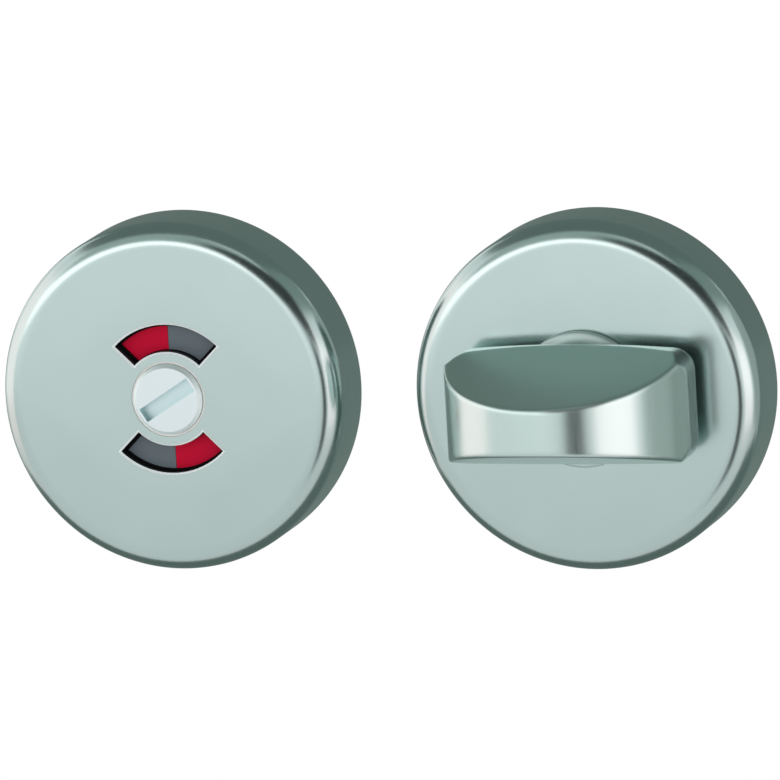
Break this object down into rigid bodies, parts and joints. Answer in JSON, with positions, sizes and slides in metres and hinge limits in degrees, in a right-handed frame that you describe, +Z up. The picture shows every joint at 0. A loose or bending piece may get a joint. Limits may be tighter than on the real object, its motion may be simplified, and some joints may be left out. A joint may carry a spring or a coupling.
{
  "type": "bathroom thumb turn lock",
  "caption": "Bathroom door lock set: round inside rose with a bowed thumb turn and square spindle, and a matching outside rose with indicator windows and a slotted release.",
  "frame": {"origin": "on the door face, on the spindle axis of the inside rose", "axes": "+Z up, +Y into the door along the spindle, so both fronts look towards -Y; +X to the right, with the outside rose at -X"},
  "size_m": [0.115, 0.0839, 0.052],
  "materials": {
    "satin_aluminium": "satin anodised",
    "brushed_aluminium": "fine vertical brushing, anodised",
    "bright_aluminium": "bright, finely turned",
    "grey_nylon": "moulded nylon",
    "white_acetal": "moulded acetal",
    "dark_plastic": "moulded, satin",
    "red_plastic": "moulded, semi-gloss",
    "zinc_steel": "zinc plated",
    "spring_steel": "blackened spring steel"
  },
  "bodies": {
    "roses": {"inside_rose_cover": "satin_aluminium", "inside_rose_base": "grey_nylon", "inside_rose_screws": "zinc_steel", "thumb_turn_bush": "white_acetal", "thumb_turn_spring_washer": "spring_steel", "outside_rose_cover": "satin_aluminium", "outside_rose_base": "grey_nylon", "outside_rose_screws": "zinc_steel", "release_spring_washer": "spring_steel"},
    "turn": {"thumb_turn": "brushed_aluminium", "thumb_turn_stop_washer": "zinc_steel", "thumb_turn_circlip": "spring_steel", "spindle": "zinc_steel", "spindle_pin": "spring_steel"},
    "release": {"release_rotor": "bright_aluminium", "indicator_disc": "dark_plastic", "occupied_fields": "red_plastic", "release_stop_washer": "zinc_steel", "release_circlip": "spring_steel"}
  },
  "joints": [
    {"name": "thumb_turn_hinge", "type": "hinge", "parent": "roses", "child": "turn", "pos_m": [0, 0, 0], "axis": [0, -1, 0], "range_deg": [0, 90]},
    {"name": "release_hinge", "type": "hinge", "parent": "roses", "child": "release", "pos_m": [-0.063, 0, 0], "axis": [0, -1, 0], "range_deg": [-45, 45]}
  ]
}
